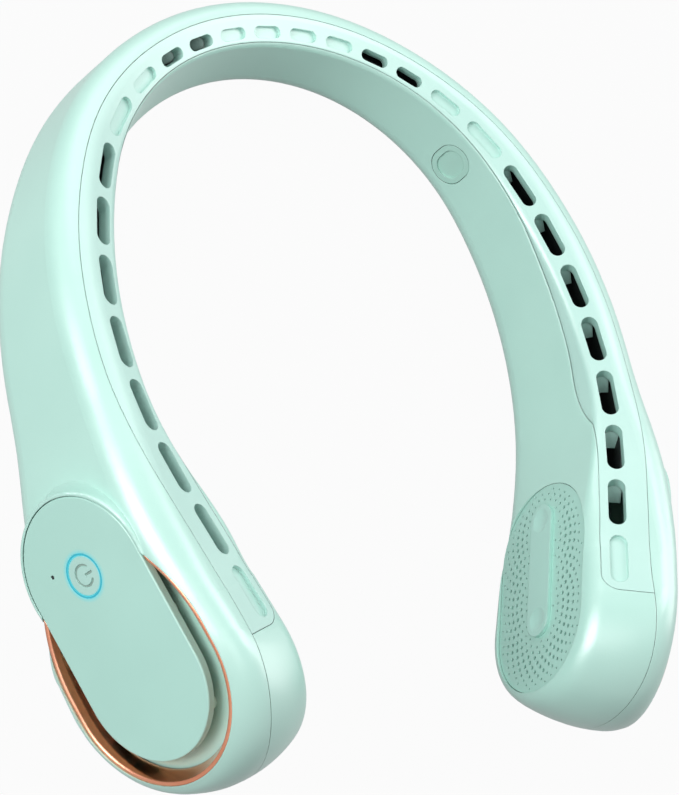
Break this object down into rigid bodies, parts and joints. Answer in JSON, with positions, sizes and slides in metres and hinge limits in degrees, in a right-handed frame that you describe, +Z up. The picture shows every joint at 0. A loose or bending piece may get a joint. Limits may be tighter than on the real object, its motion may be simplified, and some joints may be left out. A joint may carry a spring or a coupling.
{
  "type": "neck fan",
  "caption": "Horseshoe-shaped bladeless neck fan: a hollow band with a row of air outlets and a wide fan pod at each end, worn round the neck.",
  "frame": {"origin": "centre of the bounding box on the plane it rests on", "axes": "+Z up, +Y towards the back of the neck, +X to the wearer-side arm with the charging socket; the opening faces -Y"},
  "size_m": [0.1792, 0.2018, 0.0511],
  "materials": {
    "casing": "satin mint",
    "plate": "satin mint, a little darker",
    "ring": "rose-gold plated",
    "button": "satin mint",
    "light": "clear, lit cyan",
    "grille": "satin mint",
    "pad": "satin mint",
    "plug": "soft matt",
    "fan": "dark grey",
    "steel": "plated",
    "bronze": "sintered",
    "winding": "enamelled copper on iron",
    "bracket": "black",
    "channel": "black",
    "board": "solder mask",
    "switch": "black",
    "cell": "film wrapped",
    "lead": "insulated pair"
  },
  "bodies": {
    "casing": {"back_air_channel": "channel", "button_light": "light", "charge_board": "board", "charge_socket": "steel", "control_board": "board", "inner_shell": "casing", "left_air_channel": "channel", "left_bearing": "bronze", "left_cell": "cell", "left_cover_plate": "plate", "left_fan_housing": "bracket", "left_grille": "grille", "left_intake_ring": "ring", "left_motor_bracket": "bracket", "left_rest_pad": "pad", "left_stator": "winding", "motor_lead": "lead", "motor_screws": "steel", "outer_shell": "casing", "outlet_strip": "casing", "plate_screws": "steel", "press_switch": "switch", "right_air_channel": "channel", "right_bearing": "bronze", "right_cell": "cell", "right_cover_plate": "plate", "right_fan_housing": "bracket", "right_grille": "grille", "right_intake_ring": "ring", "right_motor_bracket": "bracket", "right_rest_pad": "pad", "right_stator": "winding", "status_light": "light"},
    "button": {"power_button": "button"},
    "plug": {"charge_cover": "plug"},
    "left_fan": {"left_impeller": "fan", "left_rotor": "steel", "left_shaft": "steel"},
    "right_fan": {"right_impeller": "fan", "right_rotor": "steel", "right_shaft": "steel"}
  },
  "joints": [
    {"name": "button_press", "type": "slide", "parent": "casing", "child": "button", "axis": [0.9024, 0.3043, -0.305], "range_m": [0, 0.0003], "stiffness_N_per_m": 500},
    {"name": "left_fan_spin", "type": "hinge", "parent": "casing", "child": "left_fan", "pos_m": [-0.06146, -0.07228, 0.02211], "axis": [-0.9024, -0.3043, 0.305], "continuous": true},
    {"name": "right_fan_spin", "type": "hinge", "parent": "casing", "child": "right_fan", "pos_m": [0.06146, -0.07228, 0.02211], "axis": [0.9024, -0.3043, 0.305], "continuous": true},
    {"name": "plug_pull", "type": "slide", "parent": "casing", "child": "plug", "axis": [-0.8285, -0.5397, 0.1493], "range_m": [0, 0.01]}
  ]
}
